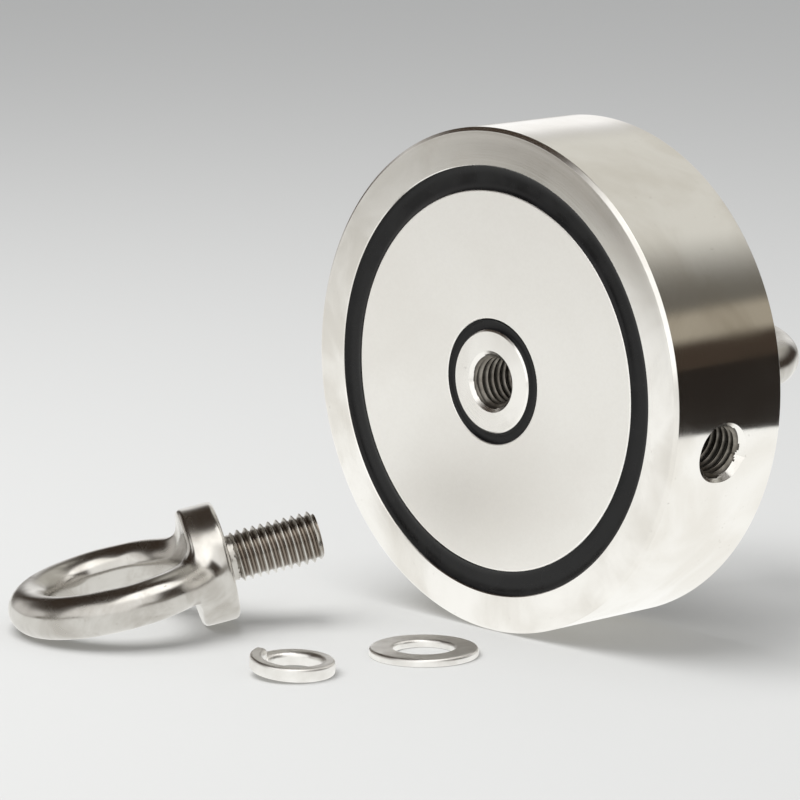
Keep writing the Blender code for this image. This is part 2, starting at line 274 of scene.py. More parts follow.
def set_normals(mesh, chosen_points, normals):
    """Exact normals for the faces whose points are all chosen, which it returns by number.

    The other faces keep their own.
    """
    custom = np.zeros((len(mesh.loops), 3))
    chosen_faces = []
    for polygon in mesh.polygons:
        if all(chosen_points[i] for i in polygon.vertices):
            chosen_faces.append(polygon.index)
            for loop in polygon.loop_indices:
                custom[loop] = normals[mesh.loops[loop].vertex_index]
    mesh.normals_split_custom_set(custom.tolist())
    return chosen_faces


# ---- threads ----------------------------------------------------------------------------------

def thread_profile(crest_radius):
    """(share of the pitch, radius) points from the middle of one root to the next.

    Root and crest are rounded where they meet the flanks, as rolling leaves them.
    """
    root = crest_radius - THREAD_HEIGHT
    root_start = ROOT_FLAT * PITCH / 2 - ROOT_ROUNDING * math.tan(FLANK_SLOPE / 2)
    crest_end = (1 - CREST_FLAT) * PITCH / 2 + CREST_ROUNDING * math.tan(FLANK_SLOPE / 2)
    root_arc = []
    crest_arc = []
    for step in range(THREAD_ARC_STEPS + 1):
        turn = FLANK_SLOPE * step / THREAD_ARC_STEPS
        root_arc.append((root_start + ROOT_ROUNDING * math.sin(turn),
                         root + ROOT_ROUNDING * (1 - math.cos(turn))))
        crest_arc.append((crest_end - CREST_ROUNDING * math.sin(turn),
                          crest_radius - CREST_ROUNDING * (1 - math.cos(turn))))
    foot = root_arc[-1]
    head = crest_arc[-1]
    flank_middle = ((foot[0] + head[0]) / 2, (foot[1] + head[1]) / 2)
    rise = root_arc + [flank_middle] + crest_arc[::-1]
    fall = [(PITCH - along, radius) for along, radius in reversed(rise)]
    return [(along / PITCH, radius) for along, radius in [(0.0, root)] + rise + fall]


def thread_grid(crest_radius, bottom, top, limit, steps=THREAD_STEPS):
    """A right-handed thread in step with z = 0, cut to a radius that limit gives from z.

    Its rows follow the helix. Rows beyond an end are squeezed onto it, where welding joins them.
    """
    first = math.floor(bottom / PITCH) - 1
    last = math.ceil(top / PITCH) + 1
    rows = [(turn + share, radius) for turn in range(first, last)
            for share, radius in thread_profile(crest_radius)]
    turns, radii = np.array(rows).T
    around = np.linspace(0, 1, steps + 1)
    z = np.clip((turns[:, None] + around[None, :]) * PITCH, bottom, top)
    radius = limit(np.repeat(radii[:, None], steps + 1, axis=1), z)
    angle = 2 * math.pi * around
    points = np.stack((radius * np.cos(angle), radius * np.sin(angle), z), axis=-1)
    return points.reshape(-1, 3), grid_faces(len(rows), steps + 1, False, False)


def seen_from(axis, mesh):
    """The x, y and z of a mesh's points in the frame of an axis."""
    to_axis = np.array(axis.inverted())
    return (points_of(mesh) @ to_axis[:3, :3].T + to_axis[:3, 3]).T


def mark_grooves(mesh, axis, crest, root, low, high):
    """Stores how far each point of a thread lies from its crest (0) towards its root (1), for the
    painted shade in its grooves.
    """
    x, y, z = seen_from(axis, mesh)
    depth = np.clip((np.hypot(x, y) - crest) / (root - crest), 0, 1)
    depth[(z < low) | (z > high)] = 0
    mesh.attributes.new("groove", "FLOAT", "POINT").data.foreach_set("value", depth)


def shank_mesh():
    """The eyebolt's threaded shank, chamfered at its tip and running out under the neck."""
    top = SHANK_OVERLAP - NECK_LENGTH
    bottom = -SHANK_LENGTH

    def limit(radius, z):
        chamfer = SHANK_END_RADIUS + np.minimum(z - bottom, top - z)
        return np.minimum(radius, chamfer)

    return shade(welded([
        thread_grid(MALE_RADIUS, bottom, top, limit),
        fan(SHANK_END_RADIUS, bottom, bottom, THREAD_STEPS),
        fan(SHANK_END_RADIUS, top, top, THREAD_STEPS),
    ]))


def knocked(points):
    """Widens the mouth of the rim's hole where it has been knocked."""
    x, y, z = points.T
    radius = np.hypot(x, y)
    mouth = SIDE_MOUTH_RADIUS + z
    for direction, half_width, depth in MOUTH_KNOCKS:
        off = (np.arctan2(y, x) - direction + math.pi) % (2 * math.pi) - math.pi
        fade = 1 - np.maximum(z, 0) / SIDE_CUTTER_TOP
        mouth = mouth + depth * fade * np.exp(-(off / half_width) ** 2)
    points[:, :2] *= (np.maximum(radius, mouth) / radius)[:, None]
    return points


def blind_hole_cutter():
    """The rim's threaded hole, its mouth at z = 0 and its drilled tip below."""
    top = SIDE_CUTTER_TOP
    tip = -SIDE_DRILL_DEPTH - DRILL_RADIUS * math.tan(math.radians(30))

    def limit(radius, z):
        runout = DRILL_RADIUS + z + SIDE_THREAD_DEPTH
        mouth = SIDE_MOUTH_RADIUS + z
        return np.maximum(np.minimum(radius, runout), mouth)

    drill = [(DRILL_RADIUS, -SIDE_THREAD_DEPTH), (DRILL_RADIUS, -SIDE_DRILL_DEPTH)]
    points, faces = thread_grid(FEMALE_RADIUS, -SIDE_THREAD_DEPTH, top, limit)
    return shade(welded([
        (knocked(points), faces),
        fan(SIDE_MOUTH_RADIUS + top, top, top, THREAD_STEPS),
        turned_grid(drill, THREAD_STEPS, False),
        fan(DRILL_RADIUS, -SIDE_DRILL_DEPTH, tip, THREAD_STEPS),
    ]))


def bush_mesh(stack):
    """The centre bush in the rear eyebolt's own frame, threaded in step with it."""
    steps = 2 * THREAD_STEPS
    top = -stack
    bottom = -stack - POT_DEPTH

    def limit(radius, z):
        mouth = MOUTH_RADIUS - np.minimum(top - z, z - bottom)
        return np.maximum(radius, mouth)

    edge = BUSH_RADIUS - BUSH_CHAMFER
    outside = [
        (MOUTH_RADIUS, top), (edge, top), (BUSH_RADIUS, top - BUSH_CHAMFER),
        (BUSH_RADIUS, bottom + BUSH_CHAMFER), (edge, bottom), (MOUTH_RADIUS, bottom),
    ]
    mesh = shade(welded([
        thread_grid(FEMALE_RADIUS, bottom, top, limit, steps),
        turned_grid(outside, steps, False),
    ]))
    for material in (bush_nickel(), thread_steel()):
        mesh.materials.append(material)
    in_thread(mesh, Matrix(), bottom)
    mark_grooves(mesh, Matrix(), FEMALE_RADIUS - THREAD_HEIGHT, FEMALE_RADIUS, bottom, top)
    return mesh


# ---- pot, magnets and epoxy -------------------------------------------------------------------

def rim_face(height, outwards, inner, outer):
    """Points across one side of the rim, which polishing has left slightly crowned."""
    steps = 8
    points = []
    for step in range(steps + 1):
        share = step / steps
        radius = inner + share * (outer - inner)
        points.append((radius, height - outwards * RIM_CROWN * share ** 2, 0.0))
    return points


def pot_outline():
    """Half of the pot's section, from the front rim down its outer side and round."""
    edge = POT_RADIUS - POT_CHAMFER
    side_rows = 12
    low = POT_CHAMFER - POT_DEPTH
    bore = BUSH_RADIUS + SEAM
    wall_edge = POCKET_RADIUS + EDGE_ROUNDING
    corners = [(edge, -RIM_CROWN, EDGE_ROUNDING), (POT_RADIUS, -POT_CHAMFER, EDGE_ROUNDING)]
    for row in range(1, side_rows):
        corners.append((POT_RADIUS, low + (side_rows - row) * (-POT_CHAMFER - low) / side_rows, 0.0))
    corners += [(POT_RADIUS, low, EDGE_ROUNDING), (edge, -POT_DEPTH + RIM_CROWN, EDGE_ROUNDING)]
    rear_face = rim_face(-POT_DEPTH, -1, wall_edge, edge - 2 * EDGE_ROUNDING)
    corners += reversed(rear_face)
    corners += [
        (POCKET_RADIUS, -POT_DEPTH + EDGE_ROUNDING, 0.0),
        (POCKET_RADIUS, POCKET_DEPTH - POT_DEPTH, 0.0),
        (bore, POCKET_DEPTH - POT_DEPTH, 0.0), (bore, -POCKET_DEPTH, 0.0),
        (POCKET_RADIUS, -POCKET_DEPTH, 0.0), (POCKET_RADIUS, -EDGE_ROUNDING, 0.0),
    ]
    corners += rim_face(0.0, 1, wall_edge, edge - 2 * EDGE_ROUNDING)
    return rounded(corners)


def side_hole_axis():
    turn = Matrix.Rotation(SIDE_HOLE_ANGLE, 4, "Z")
    out = Matrix.Translation((POT_RADIUS, 0, -SIDE_HOLE_FROM_FRONT))
    return turn @ out @ Matrix.Rotation(math.pi / 2, 4, "Y")


def in_thread(mesh, axis, low):
    """Gives the faces inside a threaded hole round an axis, down to low, the last material."""
    x, y, z = seen_from(axis, mesh)
    margin = 0.02 * MM
    inside = (np.hypot(x, y) < FEMALE_RADIUS + margin) & (z > low) & (z < 0)
    last = len(mesh.materials) - 1
    for polygon in mesh.polygons:
        if all(inside[i] for i in polygon.vertices):
            polygon.material_index = last


def pot_mesh():
    """The turned pot with its threaded side hole. Rim, side and thread have a material each."""
    axis = side_hole_axis()
    blank = turned(pot_outline(), POT_STEPS)
    mesh = shade(combined(blank, blind_hole_cutter(), "DIFFERENCE", axis))
    points = points_of(mesh)
    radius = np.hypot(points[:, 0], points[:, 1])
    margin = 0.005 * MM
    on_side = np.abs(radius - POT_RADIUS) < margin
    outwards = points / radius[:, None]
    outwards[:, 2] = 0.0
    mesh.materials.clear()
    for material in (rim_nickel(), side_nickel(), thread_steel()):
        mesh.materials.append(material)
    side = 1
    for face in set_normals(mesh, on_side, outwards):
        mesh.polygons[face].material_index = side
    in_thread(mesh, axis, -SIDE_DRILL_DEPTH - DRILL_RADIUS)
    mark_grooves(mesh, axis, FEMALE_RADIUS - THREAD_HEIGHT, FEMALE_RADIUS, -SIDE_THREAD_DEPTH, 0.0)
    return mesh


def magnet_mesh():
    top = -MAGNET_RECESS
    return shade(turned(rounded([
        (MAGNET_OUTER_RADIUS, top, MAGNET_ROUNDING), (MAGNET_OUTER_RADIUS, -MAGNET_BOTTOM, 0.0),
        (MAGNET_INNER_RADIUS, -MAGNET_BOTTOM, 0.0), (MAGNET_INNER_RADIUS, top, MAGNET_ROUNDING),
    ], MAGNET_ARC_STEPS), POT_STEPS))


def epoxy_mesh(inner, outer):
    """A poured ring of epoxy that climbs a little up the wall on each side."""
    steps = 16
    inner += SEAM
    outer -= SEAM
    outline = [(outer, SEAM - POCKET_DEPTH), (inner, SEAM - POCKET_DEPTH)]
    for step in range(steps + 1):
        across = step / steps
        off_middle = 2 * across - 1
        depth = MENISCUS_TOP + MENISCUS_SAG * (1 - off_middle ** 4)
        outline.append((inner + across * (outer - inner), -depth))
    return shade(turned(outline, POT_STEPS), 50.0)


# ---- eyebolt ----------------------------------------------------------------------------------

def disc_distance(radius, z, disc_radius, low, high, rounding):
    """Signed distance to a round disc with rounded edges, from distances to its axis."""
    outside_radius = radius - (disc_radius - rounding)
    outside_height = np.abs(z - (low + high) / 2) - ((high - low) / 2 - rounding)
    outside = np.hypot(np.maximum(outside_radius, 0), np.maximum(outside_height, 0))
    inside = np.minimum(np.maximum(outside_radius, outside_height), 0)
    return outside + inside - rounding


def smooth_union(distance_a, distance_b, width):
    near = np.maximum(width - np.abs(distance_a - distance_b), 0) / width
    return np.minimum(distance_a, distance_b) - near ** 2 * width / 4


def unevenness(points):
    """Slow waves in all directions, the same on each run."""
    random = np.random.default_rng(11)
    height = np.zeros(points.shape[:-1])
    for length in WAVE_LENGTHS:
        for _ in range(WAVES_OF_A_LENGTH):
            direction = random.normal(size=3)
            direction *= 2 * math.pi / length / np.linalg.norm(direction)
            height += np.sin(points @ direction + random.uniform(0, 2 * math.pi))
    return height * WAVE_HEIGHT / len(WAVE_LENGTHS)


def eyebolt_distance(points):
    """Signed distance to the ring, collar and neck, blended as one forging."""
    x, y, z = np.moveaxis(points, -1, 0)
    from_axis = np.hypot(x, y)
    ring = np.hypot(np.hypot(x, z - RING_HEIGHT) - RING_RADIUS, y) - WIRE_RADIUS
    collar = disc_distance(from_axis, z, COLLAR_RADIUS, 0.0, COLLAR_HEIGHT, COLLAR_ROUNDING)
    neck = disc_distance(from_axis, z, NECK_RADIUS, -NECK_LENGTH, NECK_LENGTH, NECK_ROUNDING)
    head = smooth_union(ring, collar, RING_FILLET) + unevenness(points)
    return smooth_union(np.maximum(head, -z), neck, NECK_FILLET)


def slopes(distance, points):
    """The field's gradient at each point."""
    reach = 0.02 * MM
    result = np.empty_like(points)
    for axis in range(3):
        offset = np.zeros(3)
        offset[axis] = reach
        result[:, axis] = (distance(points + offset) - distance(points - offset)) / (2 * reach)
    return result


def crossing_sums(field, corner_points):
    """For each cell, the sum and the count of the places where the surface cuts its edges."""
    cells = tuple(size - 1 for size in field.shape)
    total = np.zeros((*cells, 3))
    count = np.zeros(cells)
    for axis in range(3):
        start = np.moveaxis(field, axis, 0)
        place = np.moveaxis(corner_points, axis, 0)
        cut = (start[:-1] < 0) != (start[1:] < 0)
        gap = np.where(cut, start[:-1] - start[1:], 1.0)
        share = np.where(cut, start[:-1] / gap, 0.0)[..., None]
        where = (place[:-1] + share * (place[1:] - place[:-1])) * cut[..., None]
        total_view = np.moveaxis(total, axis, 0)
        count_view = np.moveaxis(count, axis, 0)
        for i in (0, 1):
            for j in (0, 1):
                near = (slice(None), slice(i, cut.shape[1] - 1 + i),
                        slice(j, cut.shape[2] - 1 + j))
                total_view += where[near]
                count_view += cut[near]
    return total, count


def net_faces(field, index):
    """A quad round each grid edge that the surface cuts, facing out of the negative side."""
    faces = []
    for axis in range(3):
        start = np.moveaxis(field, axis, 0)
        around = np.moveaxis(index, axis, 0)
        cut = (start[:-1] < 0) != (start[1:] < 0)
        along, i, j = np.nonzero(cut[:, 1:-1, 1:-1])
        quads = np.stack((around[along, i, j], around[along, i + 1, j],
                          around[along, i + 1, j + 1], around[along, i, j + 1]), axis=-1)
        leaving = start[along, i + 1, j + 1] < 0
        flipped = leaving if axis == 1 else ~leaving
        quads[flipped] = quads[flipped][:, ::-1]
        faces.append(quads)
    return np.vstack(faces)


def surface_net(distance, low, high):
    """The closed mesh of a distance field's zero level, its points moved exactly onto it."""
    axes = [np.arange(a, b + NET_STEP, NET_STEP) for a, b in zip(low, high)]
    corner_points = np.stack(np.meshgrid(*axes, indexing="ij"), axis=-1)
    field = distance(corner_points)
    total, count = crossing_sums(field, corner_points)
    used = count > 0
    index = np.full(count.shape, -1)
    index[used] = np.arange(used.sum())
    points = total[used] / count[used][:, None]
    passes = 3
    flattest = 0.25
    for _ in range(passes):
        slope = slopes(distance, points)
        step = distance(points) / np.maximum((slope ** 2).sum(axis=1), flattest)
        points -= slope * step[:, None]
    mesh = bpy.data.meshes.new("net")
    mesh.from_pydata(points.tolist(), [], net_faces(field, index).tolist())
    return mesh


def eyebolt_mesh():
    """Ring, collar and threaded shank in one, the collar's base at z = 0 and the shank down -Z."""
    margin = 2 * NET_STEP
    across = RING_RADIUS + WIRE_RADIUS + margin
    tall = RING_HEIGHT + RING_RADIUS + WIRE_RADIUS + margin
    low = (-across, -COLLAR_RADIUS - margin, -NECK_LENGTH - margin)
    high = (across, COLLAR_RADIUS + margin, tall)
    head = surface_net(eyebolt_distance, low, high)
    mesh = shade(combined(head, shank_mesh(), "UNION"), 40.0)
    points = points_of(mesh)
    off_head = 0.01 * MM
    base_edge = 0.1 * MM
    tip = 0.05 * MM - SHANK_LENGTH
    on_head = (np.abs(eyebolt_distance(points)) < off_head) & (points[:, 2] > base_edge)
    normals = slopes(eyebolt_distance, points)
    normals /= np.linalg.norm(normals, axis=1, keepdims=True)
    set_normals(mesh, on_head, normals)
    mark_grooves(mesh, Matrix(), MALE_RADIUS, MALE_RADIUS - THREAD_HEIGHT, tip, -NECK_LENGTH)
    return mesh


# ---- washers ----------------------------------------------------------------------------------

def flat_washer_mesh():
    """A punched washer, rounder on the side that the punch came from."""
    upper = 0.6 * MM
    lower = 0.3 * MM
    return shade(turned(rounded([
        (FLAT_WASHER_RADIUS, FLAT_WASHER_THICKNESS, upper), (FLAT_WASHER_RADIUS, 0.0, lower),
        (FLAT_WASHER_HOLE, 0.0, lower), (FLAT_WASHER_HOLE, FLAT_WASHER_THICKNESS, upper),
    ], WASHER_ARC_STEPS), WASHER_STEPS))


def spring_washer_mesh(rise):
    """One left-handed turn of square wire, split by a slanting cut at +X, that climbs by the rise."""
    section = rounded([
        (SPRING_OUTER_RADIUS, SPRING_THICKNESS, SPRING_ROUNDING),
        (SPRING_OUTER_RADIUS, 0.0, SPRING_ROUNDING),
        (SPRING_INNER_RADIUS, 0.0, SPRING_ROUNDING),
        (SPRING_INNER_RADIUS, SPRING_THICKNESS, SPRING_INNER_ROUNDING),
    ], WASHER_ARC_STEPS)
    middle = Vector(((SPRING_OUTER_RADIUS + SPRING_INNER_RADIUS) / 2, SPRING_THICKNESS / 2))
    turn = SPRING_SPLIT - 2 * math.pi
    end = SPRING_END_LENGTH / middle.x / abs(turn)
    stations = [(0.0, SPRING_END_SIZE), (end, 1.0)]
    stations += [(step / WASHER_STEPS, 1.0) for step in range(1, WASHER_STEPS)]
    stations += [(1.0 - end, 1.0), (1.0, SPRING_END_SIZE)]
    points = []
    for share, size in stations:
        for point in section:
            radius, height = middle + (point - middle) * size
            height += share * rise
            angle = share * turn - height * math.tan(SPRING_CUT) / middle.x
            points.append((radius * math.cos(angle), radius * math.sin(angle), height))
    columns = len(section)
    faces = grid_faces(len(stations), columns, False, True)
    faces.append(tuple(range(columns)))
    faces.append(tuple(range(len(points) - columns, len(points))))
    return shade(welded([(points, faces)]))


# ---- material tools ---------------------------------------------------------------------------

def add_node(tree, kind, inputs=None, **settings):
    """A new node. Each input is given a value, or the socket that feeds it."""
    made = tree.nodes.new(kind)
    for name, value in settings.items():
        setattr(made, name, value)
    for name, value in (inputs or {}).items():
        if isinstance(value, bpy.types.NodeSocket):
            tree.links.new(value, made.inputs[name])
        else:
            made.inputs[name].default_value = value
    return made


def math_node(tree, operation, a, b=0.0):
    return add_node(tree, "ShaderNodeMath", {0: a, 1: b}, operation=operation).outputs[0]


def noise(tree, coordinates, scale, detail=3.0, distortion=0.0):
    inputs = {"Vector": coordinates, "Scale": scale, "Detail": detail, "Distortion": distortion}
    return add_node(tree, "ShaderNodeTexNoise", inputs).outputs["Fac"]


def ranged(tree, value, low, high, from_low=0.3, from_high=0.7):
    inputs = {"Value": value, "From Min": from_low, "From Max": from_high,
              "To Min": low, "To Max": high}
    return add_node(tree, "ShaderNodeMapRange", inputs,
                    interpolation_type="SMOOTHSTEP").outputs["Result"]


def mixed(tree, factor, colour_a, colour_b):
    inputs = {0: factor, 6: (*colour_a, 1.0), 7: (*colour_b, 1.0)}
    return add_node(tree, "ShaderNodeMix", inputs, data_type="RGBA").outputs[2]


def tinted(tree, factor, colour, over):
    """A colour laid over another one, or over the colour that a socket gives."""
    inputs = {0: factor, 6: over, 7: (*colour, 1.0)}
    return add_node(tree, "ShaderNodeMix", inputs, data_type="RGBA").outputs[2]


def bumped(tree, height, distance, normal=None):
    inputs = {"Height": height, "Distance": distance, "Strength": 1.0}
    if normal is not None:
        inputs["Normal"] = normal
    return add_node(tree, "ShaderNodeBump", inputs).outputs["Normal"]


def new_surface(name, metallic):
    material = bpy.data.materials.new(name)
    material.use_nodes = True
    shader = material.node_tree.nodes["Principled BSDF"]
    shader.inputs["Metallic"].default_value = metallic
    return material, material.node_tree, shader


def finish_surface(tree, shader, colour, roughness, normal):
    tree.links.new(colour, shader.inputs["Base Color"])
    tree.links.new(roughness, shader.inputs["Roughness"])
    tree.links.new(normal, shader.inputs["Normal"])


def new_glow(name):
    """A material that only gives off light, and isn't sampled as a lamp."""
    material = bpy.data.materials.new(name)
    material.use_nodes = True
    material.node_tree.nodes.clear()
    material.cycles.emission_sampling = "NONE"
    return material, material.node_tree


def finish_glow(tree, colour):
    emission = add_node(tree, "ShaderNodeEmission", {"Color": colour})
    add_node(tree, "ShaderNodeOutputMaterial", {"Surface": emission.outputs[0]})


def object_place(tree):
    return add_node(tree, "ShaderNodeTexCoord").outputs["Object"]


def groove_shade(tree, most):
    """How much painted shade a point in a thread's groove gets: none on the crest, most in the root."""
    depth = add_node(tree, "ShaderNodeAttribute", attribute_name="groove").outputs["Fac"]
    return ranged(tree, depth, 0.0, most, 0.3, 1.0)


def turned_place(tree):
    """(distance from the axis, height) of a turned part, for marks that run round it."""
    parts = add_node(tree, "ShaderNodeSeparateXYZ", {"Vector": object_place(tree)})
    x, y, z = parts.outputs
    squares = math_node(tree, "ADD", math_node(tree, "MULTIPLY", x, x),
                        math_node(tree, "MULTIPLY", y, y))
    from_axis = math_node(tree, "SQRT", squares)
    return add_node(tree, "ShaderNodeCombineXYZ", {"X": from_axis, "Y": z}).outputs[0]


# ---- materials --------------------------------------------------------------------------------

def nickel_surface(name, light, shadow, roughness, turning_mark):
    """Nickel plate: cloudy patches, faint turning marks and small spots."""
    material, tree, shader = new_surface(name, 1.0)
    place = object_place(tree)
    round_place = turned_place(tree)
    clouds = noise(tree, place, 55.0, 4.0, 0.6)
    marks = noise(tree, round_place, 2600.0, 2.0)
    spots = noise(tree, place, 900.0, 2.0)
    colour = mixed(tree, ranged(tree, clouds, 0.0, 1.0, 0.38, 0.68), light, shadow)
    colour = tinted(tree, ranged(tree, spots, 0.0, 0.35, 0.70, 0.80), (0.45, 0.42, 0.38), colour)
    patchy = ranged(tree, clouds, *roughness)
    finish = math_node(tree, "ADD", patchy, ranged(tree, marks, 0.0, 0.03))
    dents = bumped(tree, noise(tree, place, 260.0, 2.0), 0.004 * MM)
    finish_surface(tree, shader, colour, finish, bumped(tree, marks, turning_mark, dents))
    return material


def side_nickel():
    return nickel_surface("nickel_side", (0.89, 0.875, 0.85), (0.80, 0.775, 0.735),
                          (0.07, 0.12), 0.0015 * MM)


def rim_nickel():
    return nickel_surface("nickel_rim", (0.91, 0.895, 0.87), (0.77, 0.745, 0.705),
                          (0.16, 0.24), 0.0006 * MM)


def bush_nickel():
    return nickel_surface("nickel_bush", (0.91, 0.895, 0.87), (0.84, 0.82, 0.79),
                          (0.18, 0.26), 0.003 * MM)


def thread_steel():
    """Cut threads, oily and dull, with torn patches. Their dark tone is partly painted shade inside the
    holes, and the grooves get more painted shade.
    """
    material, tree, shader = new_surface("thread_steel", 1.0)
    place = object_place(tree)
    oil = noise(tree, place, 500.0, 3.0)
    tears = noise(tree, place, 2600.0, 3.0)
    # Oily steel, kept this dark partly as painted shade inside the threaded holes.
    colour = mixed(tree, ranged(tree, oil, 0.0, 1.0), (0.30, 0.28, 0.25), (0.16, 0.145, 0.125))
    # Painted shade, darker towards each groove's root.
    colour = tinted(tree, groove_shade(tree, 0.85), (0.05, 0.045, 0.04), colour)
    finish = ranged(tree, tears, 0.30, 0.45)
    finish_surface(tree, shader, colour, finish, bumped(tree, tears, 0.006 * MM))
    return material


def magnet_nickel():
    """Satin nickel over sintered magnet: a fine pebbled grain and very soft clouds."""
    material, tree, shader = new_surface("nickel_magnet", 1.0)
    place = object_place(tree)
    clouds = noise(tree, place, 32.0, 3.0, 0.4)
    grain = noise(tree, place, 1800.0, 3.0)
    colour = mixed(tree, ranged(tree, clouds, 0.0, 1.0), (0.985, 0.975, 0.95), (0.94, 0.925, 0.895))
    colour = tinted(tree, ranged(tree, grain, 0.0, 0.12), (0.82, 0.80, 0.77), colour)
    finish = ranged(tree, clouds, 0.40, 0.46)
    finish_surface(tree, shader, colour, finish, bumped(tree, grain, 0.002 * MM))
    return material


def epoxy_surface():
    """Black epoxy, poured and cured glossy, with dust in it and slow ripples."""
    material, tree, shader = new_surface("poured_epoxy", 0.0)
    place = object_place(tree)
    ripples = noise(tree, place, 180.0, 2.0)
    dust = noise(tree, place, 2400.0, 2.0)
    colour = mixed(tree, ranged(tree, ripples, 0.0, 1.0), (0.004, 0.004, 0.0045), (0.008, 0.008, 0.0085))
    colour = tinted(tree, ranged(tree, dust, 0.0, 0.25, 0.68, 0.78), (0.10, 0.095, 0.09), colour)
    shader.inputs["Specular IOR Level"].default_value = 0.24
    finish = ranged(tree, ripples, 0.22, 0.34)
    finish_surface(tree, shader, colour, finish, bumped(tree, ripples, 0.03 * MM))
    return material


def adhesive_surface():
    """Grey structural adhesive with air bubbles."""
    material, tree, shader = new_surface("cured_adhesive", 0.0)
    place = object_place(tree)
    bubbles = noise(tree, place, 700.0, 4.0)
    colour = mixed(tree, ranged(tree, bubbles, 0.0, 1.0), (0.37, 0.37, 0.35), (0.28, 0.28, 0.265))
    finish = ranged(tree, bubbles, 0.5, 0.7)
    finish_surface(tree, shader, colour, finish, bumped(tree, bubbles, 0.05 * MM))
    return material


def stainless_surface():
    """Polished stainless casting with faint pits and cloudy patches, and painted brown shade in its
    thread's grooves.
    """
    material, tree, shader = new_surface("polished_stainless", 1.0)
    place = object_place(tree)
    clouds = noise(tree, place, 150.0, 3.0, 0.5)
    pits = noise(tree, place, 1500.0, 2.0)
    colour = mixed(tree, ranged(tree, clouds, 0.0, 1.0), (0.60, 0.585, 0.56), (0.46, 0.44, 0.41))
    colour = tinted(tree, ranged(tree, pits, 0.0, 0.5, 0.70, 0.80), (0.25, 0.22, 0.19), colour)
    # Painted shade, brown and darker towards each groove's root.
    colour = tinted(tree, groove_shade(tree, 0.8), (0.15, 0.115, 0.085), colour)
    finish = ranged(tree, clouds, 0.17, 0.28)
    finish_surface(tree, shader, colour, finish, bumped(tree, pits, 0.003 * MM))
    return material


def washer_surface():
    """Tumbled washer steel: an even satin with small nicks."""
    material, tree, shader = new_surface("satin_washer_steel", 1.0)
    place = object_place(tree)
    clouds = noise(tree, place, 260.0, 3.0)
    nicks = noise(tree, place, 1300.0, 3.0)
    colour = mixed(tree, ranged(tree, clouds, 0.0, 1.0), (0.86, 0.85, 0.83), (0.76, 0.745, 0.72))
    colour = tinted(tree, ranged(tree, nicks, 0.0, 0.3, 0.70, 0.80), (0.50, 0.48, 0.45), colour)
    finish = ranged(tree, clouds, 0.30, 0.40)
    finish_surface(tree, shader, colour, finish, bumped(tree, nicks, 0.002 * MM))
    return material


# ---- placing ----------------------------------------------------------------------------------

def front_axis():
    """The pot's own frame: z = 0 on the front face and +z out of it."""
    return Matrix.Translation((AXIS_X, FRONT_Y, AXIS_Z)) @ Matrix.Rotation(math.pi / 2, 4, "X")


def rear_axis(y, roll=0.0):
    """On the pot's axis at a given y, +z pointing away from the rear face."""
    turn = Matrix.Rotation(-math.pi / 2, 4, "X") @ Matrix.Rotation(roll, 4, "Z")
    return Matrix.Translation((AXIS_X, y, AXIS_Z)) @ turn


def middle_of(node):
    low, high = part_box(node)
    return (low + high) / 2


def add_piece(node, mesh, placement, body, material=None):
    """A fine piece that stands for a CAD node and moves with its body."""
    if material is not None:
        mesh.materials.clear()
        mesh.materials.append(material)
    obj = bpy.data.objects.new(node + "_fine", mesh)
    obj.matrix_world = placement
    bpy.context.scene.collection.objects.link(obj)
    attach(obj, body)
    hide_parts(node)
    return obj


def settled(node, mesh, turn):
    """The placement that puts a turned mesh in the middle of its CAD node's box, on the floor."""
    points = points_of(mesh) @ np.array(turn.to_3x3()).T
    low = points.min(axis=0)
    middle = (low + points.max(axis=0)) / 2
    target = middle_of(node)
    return Matrix.Translation((target.x - middle[0], target.y - middle[1], -low[2])) @ turn


def loose_eyebolt_turn():
    """The spare eyebolt lies on its ring's tip and its collar's edge."""
    along = RING_RADIUS + RING_HEIGHT - COLLAR_HEIGHT + COLLAR_ROUNDING
    across = COLLAR_RADIUS - COLLAR_ROUNDING
    step = (WIRE_RADIUS - COLLAR_ROUNDING) / math.hypot(along, across)
    lean = math.atan2(across, along) - math.asin(step)
    shank = Vector((
        math.cos(LOOSE_HEADING) * math.cos(lean), math.sin(LOOSE_HEADING) * math.cos(lean),
        math.sin(lean),
    ))
    side = Vector((math.sin(LOOSE_HEADING), -math.cos(LOOSE_HEADING), 0.0))
    return Matrix((side, side.cross(shank), -shank)).transposed().to_4x4()


def build_pot():
    front = front_axis()
    back = front @ Matrix.Translation((0, 0, -POT_DEPTH)) @ Matrix.Rotation(math.pi, 4, "X")
    add_piece("steel_pot", pot_mesh(), front, "magnet_body")
    magnet = magnet_mesh()
    outer_seal = epoxy_mesh(MAGNET_OUTER_RADIUS, POCKET_RADIUS)
    inner_seal = epoxy_mesh(BUSH_RADIUS, MAGNET_INNER_RADIUS)
    satin = magnet_nickel()
    epoxy = epoxy_surface()
    adhesive = adhesive_surface()
    for side, placement in (("front", front), ("rear", back)):
        add_piece(side + "_ring_magnet", magnet.copy(), placement, "magnet_body",
                  satin)
        add_piece(side + "_outer_epoxy_ring", outer_seal.copy(), placement, "magnet_body",
                  epoxy)
        add_piece(side + "_inner_epoxy_ring", inner_seal.copy(), placement, "magnet_body",
                  epoxy)
        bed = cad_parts[side + "_adhesive_bed"]
        bed.data.materials.clear()
        bed.data.materials.append(adhesive)


def build_rear_fittings(eyebolt, steel, satin):
    low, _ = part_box("rear_eyebolt")
    base_y = low.y + SHANK_LENGTH
    stack = base_y - (FRONT_Y + POT_DEPTH)
    add_piece("centre_bush", bush_mesh(stack), rear_axis(base_y), "magnet_body")
    add_piece("rear_eyebolt", eyebolt, rear_axis(base_y, REAR_RING_ROLL), "rear_eye",
              steel)
    for node, mesh in (("rear_flat_washer", flat_washer_mesh()),
                       ("rear_spring_washer", spring_washer_mesh(0.0))):
        low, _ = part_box(node)
        add_piece(node, mesh, rear_axis(low.y), "rear_washers", satin)


